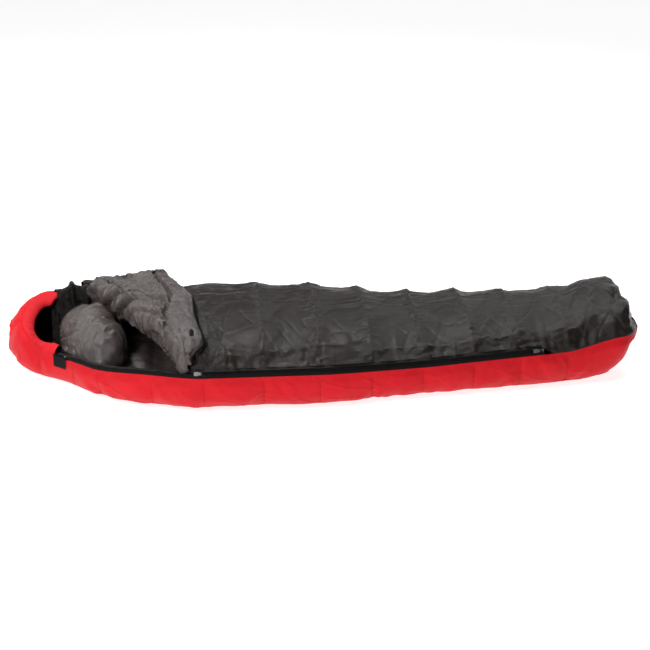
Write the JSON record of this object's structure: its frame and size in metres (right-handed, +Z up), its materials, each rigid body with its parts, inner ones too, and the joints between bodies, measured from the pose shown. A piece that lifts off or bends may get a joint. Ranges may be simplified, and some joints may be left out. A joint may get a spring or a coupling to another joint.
{
  "type": "mummy sleeping bag",
  "caption": "Hooded mummy sleeping bag with a side zip, lying flat, its top panel unzipped at the neck and folded back as a flap; zip sliders, closing tab and cord locks move.",
  "frame": {"origin": "on the ground under the middle of the bag's bounding box", "axes": "+X from the hood to the foot, +Y away from the zip side, +Z up"},
  "size_m": [2.12, 0.7631, 0.3114],
  "materials": {
    "red_shell": "soft sheen nylon",
    "charcoal_shell": "soft sheen nylon",
    "grey_liner": "glossy nylon",
    "black_lining": "matt nylon",
    "filling": "soft fibre",
    "black_tape": "woven tape",
    "hook_and_loop": "matt pile",
    "coil": "satin nylon",
    "bare_metal": "satin nickel",
    "lock_plastic": "satin",
    "spring_steel": "bright"
  },
  "bodies": {
    "bag": {"bottom_outer_shell": "red_shell", "hood_outer_shell": "red_shell", "foot_box_lower_shell": "red_shell", "top_outer_shell": "charcoal_shell", "foot_box_upper_shell": "charcoal_shell", "bottom_liner": "grey_liner", "top_liner": "grey_liner", "top_fold_facing": "grey_liner", "foot_box_liner": "grey_liner", "lower_draft_collar": "grey_liner", "zip_draft_tube": "grey_liner", "hood_lining": "black_lining", "hood_rim_channel": "black_lining", "hood_lock_anchor": "black_lining", "bottom_fill_chambers": "filling", "top_fill_chambers": "filling", "hood_fill": "filling", "foot_box_fill": "filling", "zip_lower_tape": "black_tape", "zip_upper_tape": "black_tape", "tab_loop_patch": "hook_and_loop", "zip_lower_coil": "coil", "zip_upper_coil": "coil", "zip_head_stop": "bare_metal", "zip_foot_stop": "bare_metal", "hood_lock_barrel": "lock_plastic", "hood_lock_spring": "spring_steel"},
    "flap": {"flap_outer_shell": "charcoal_shell", "flap_fill_chambers": "filling", "flap_liner": "grey_liner", "flap_fold_facing": "grey_liner", "flap_draft_tube": "grey_liner", "flap_gathered_channel": "grey_liner", "flap_zip_tape": "black_tape", "flap_zip_coil": "coil", "collar_lock_barrel": "lock_plastic", "collar_lock_spring": "spring_steel"},
    "collar_button": {"collar_lock_button": "lock_plastic"},
    "hood_button": {"hood_lock_button": "lock_plastic"},
    "head_slider": {"head_slider_body": "bare_metal", "head_slider_bridge": "bare_metal"},
    "head_link": {"head_pull_link": "bare_metal"},
    "head_pull": {"head_puller": "bare_metal"},
    "foot_slider": {"foot_slider_body": "bare_metal", "foot_slider_bridge": "bare_metal"},
    "foot_link": {"foot_pull_link": "bare_metal"},
    "foot_pull": {"foot_puller": "bare_metal"},
    "tab": {"zip_tab_strap": "black_tape", "tab_hook_patch": "hook_and_loop"}
  },
  "joints": [
    {"name": "flap_fold", "type": "hinge", "parent": "bag", "child": "flap", "pos_m": [-0.46432, -0.33, 0.256], "axis": [0.4992, -0.8665, 0], "range_deg": [0, 150]},
    {"name": "collar_lock_press", "type": "slide", "parent": "flap", "child": "collar_button", "axis": [0, 0, -1], "range_m": [0, 0.0035], "stiffness_N_per_m": 400, "springref_m": -0.002, "deforming": ["collar_lock_spring"]},
    {"name": "hood_lock_press", "type": "slide", "parent": "bag", "child": "hood_button", "axis": [0, 0, -1], "range_m": [0, 0.0035], "stiffness_N_per_m": 400, "springref_m": -0.002, "deforming": ["hood_lock_spring"]},
    {"name": "head_slider_travel", "type": "slide", "parent": "bag", "child": "head_slider", "axis": [0.9998, 0.0187, -0.005], "range_m": [0, 0.36]},
    {"name": "head_link_swing", "type": "hinge", "parent": "head_slider", "child": "head_link", "pos_m": [-0.4279, -0.37357, 0.15842], "axis": [0.0044, -0.4695, -0.8829], "range_deg": [0, 140]},
    {"name": "head_puller_turn", "type": "hinge", "parent": "head_link", "child": "head_pull", "pos_m": [-0.4129, -0.37329, 0.15835], "axis": [0.0189, -0.8827, 0.4695], "range_deg": [-50, 50]},
    {"name": "foot_slider_travel", "type": "slide", "parent": "bag", "child": "foot_slider", "axis": [-0.992, -0.123, -0.029], "range_m": [0, 0.36]},
    {"name": "foot_link_swing", "type": "hinge", "parent": "foot_slider", "child": "foot_link", "pos_m": [0.69251, -0.26266, 0.15901], "axis": [0.0837, -0.4678, -0.8798], "range_deg": [0, 140]},
    {"name": "foot_puller_turn", "type": "hinge", "parent": "foot_link", "child": "foot_pull", "pos_m": [0.70739, -0.26081, 0.15945], "axis": [0.0947, -0.8752, 0.4744], "range_deg": [-50, 50]},
    {"name": "zip_tab_fold", "type": "hinge", "parent": "bag", "child": "tab", "pos_m": [-0.905, -0.11545, 0.13114], "axis": [-0.7601, 0.6498, -0.0003], "range_deg": [0, 110]}
  ]
}
